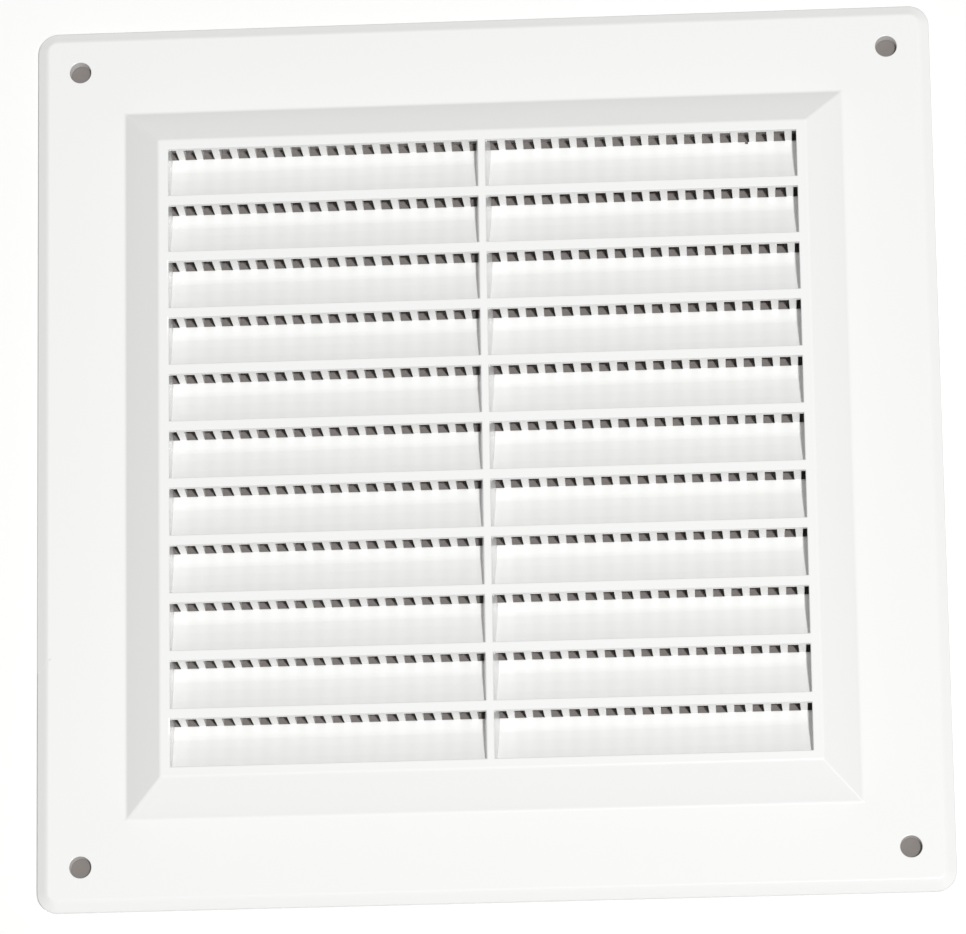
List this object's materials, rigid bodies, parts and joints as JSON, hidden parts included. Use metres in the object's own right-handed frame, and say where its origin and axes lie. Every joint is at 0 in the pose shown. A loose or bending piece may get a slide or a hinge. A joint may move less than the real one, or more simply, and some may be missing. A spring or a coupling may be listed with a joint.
{
  "type": "ventilation grille",
  "caption": "Square plastic wall vent cover with a raised panel of fixed downward louvres, a moulded-in insect screen and a screw hole in each corner.",
  "frame": {"origin": "centre of the plate on its wall side", "axes": "+Z out of the wall, towards the front; +Y up when the grille is mounted; +X to the right seen from the front"},
  "size_m": [0.242, 0.242, 0.012],
  "materials": {
    "white_plastic": "injection-moulded white polystyrene with a fine satin surface"
  },
  "bodies": {
    "root": {"grille": "white_plastic"}
  },
  "joints": []
}
